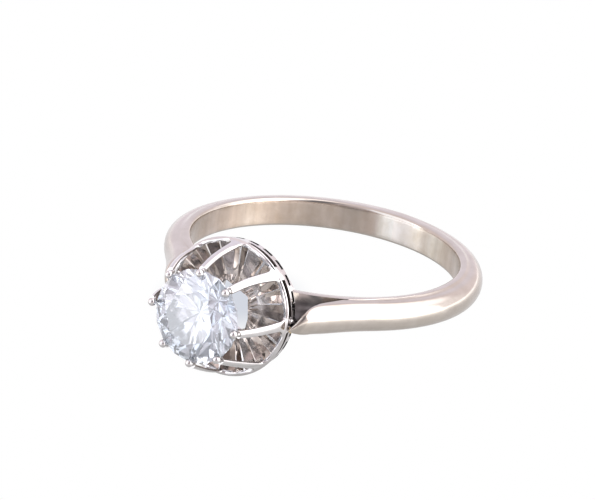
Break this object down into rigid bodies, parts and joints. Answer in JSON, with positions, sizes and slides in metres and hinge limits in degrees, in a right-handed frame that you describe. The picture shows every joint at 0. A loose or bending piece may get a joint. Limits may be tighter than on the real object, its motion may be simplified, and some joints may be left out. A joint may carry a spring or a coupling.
{
  "type": "engagement ring",
  "caption": "Solitaire finger ring: half-round band with leaf shoulders, pierced claw head with a fluted cup and a round brilliant stone.",
  "frame": {"origin": "centre of the finger hole, midway across the band's width", "axes": "+Z along the finger; -Y from the finger to the stone; the ring lies on its side, as it is pictured"},
  "size_m": [0.02, 0.0255, 0.0086],
  "materials": {
    "band_gold": "polished white gold with fine wear",
    "head_gold": "polished white gold",
    "cup_gold": "bright-cut white gold, slightly dulled",
    "stone": "cut and polished diamond",
    "solder": "slightly yellow solder"
  },
  "bodies": {
    "root": {"shank": "band_gold", "coronet": "head_gold", "gallery": "head_gold", "base_ring": "head_gold", "fluted_cup": "cup_gold", "diamond": "stone", "solder_fillets": "solder"}
  },
  "joints": []
}
